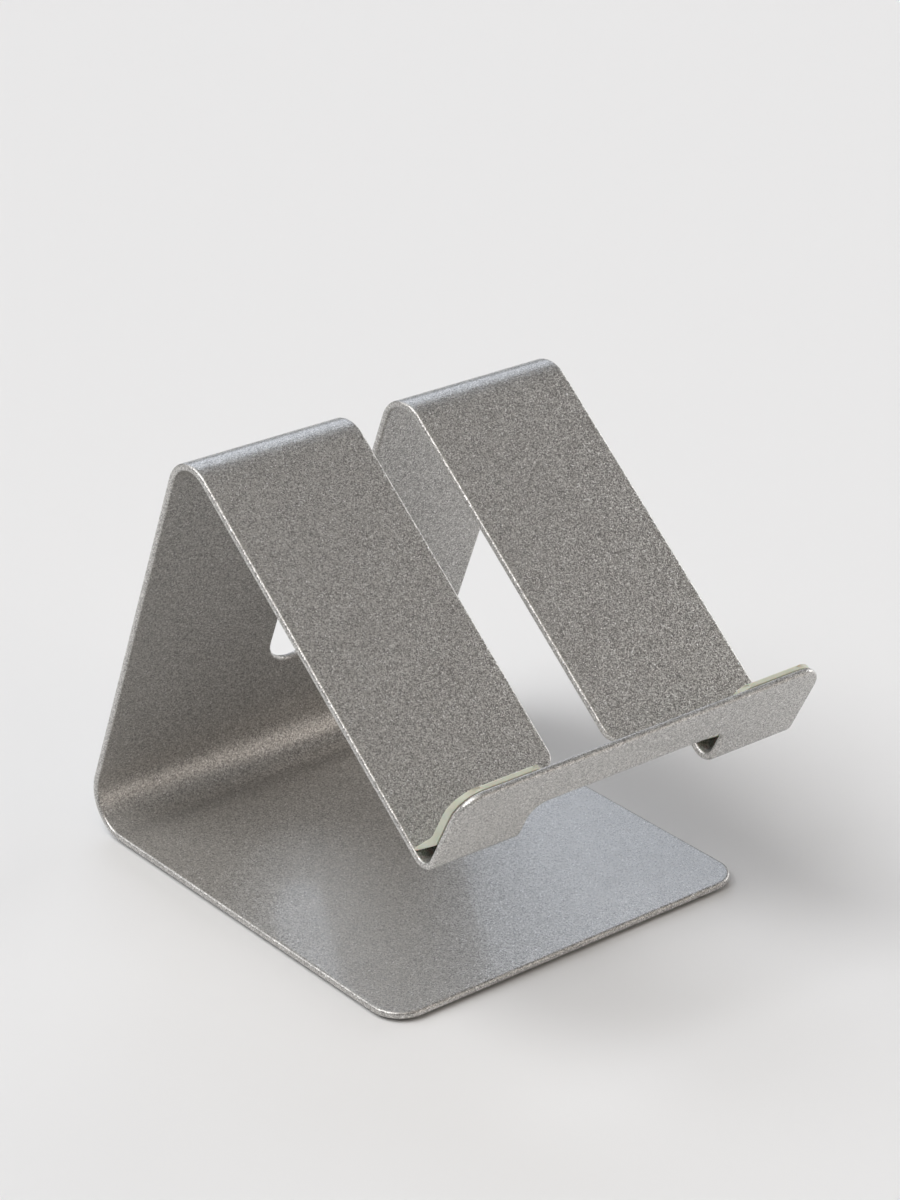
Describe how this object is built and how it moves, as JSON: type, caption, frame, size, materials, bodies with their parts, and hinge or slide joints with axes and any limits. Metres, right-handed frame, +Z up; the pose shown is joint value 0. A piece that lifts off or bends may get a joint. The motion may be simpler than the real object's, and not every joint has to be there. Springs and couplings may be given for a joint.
{
  "type": "phone stand",
  "caption": "Desk stand for a phone, bent from one sheet of glittering silver-grey coated metal, with a cable slot and soft pads in its seat.",
  "frame": {"origin": "on the surface the stand rests on, under the middle of its bounding box", "axes": "+X to the right seen from the front, +Y from the lip towards the back, +Z up"},
  "size_m": [0.08, 0.1068, 0.0838],
  "materials": {
    "body": "powder coat with fine metallic flake, satin",
    "pad": "translucent off-white silicone, satin",
    "tape": "double-sided adhesive tape, matt",
    "foot": "clear soft plastic, satin"
  },
  "bodies": {
    "root": {"stand_body": "body", "lip_pad_left": "pad", "lip_pad_right": "pad", "pad_tape_left": "tape", "pad_tape_right": "tape", "foot_front_left": "foot", "foot_front_right": "foot", "foot_rear_left": "foot", "foot_rear_right": "foot", "foot_tape_front_left": "tape", "foot_tape_front_right": "tape", "foot_tape_rear_left": "tape", "foot_tape_rear_right": "tape"}
  },
  "joints": []
}
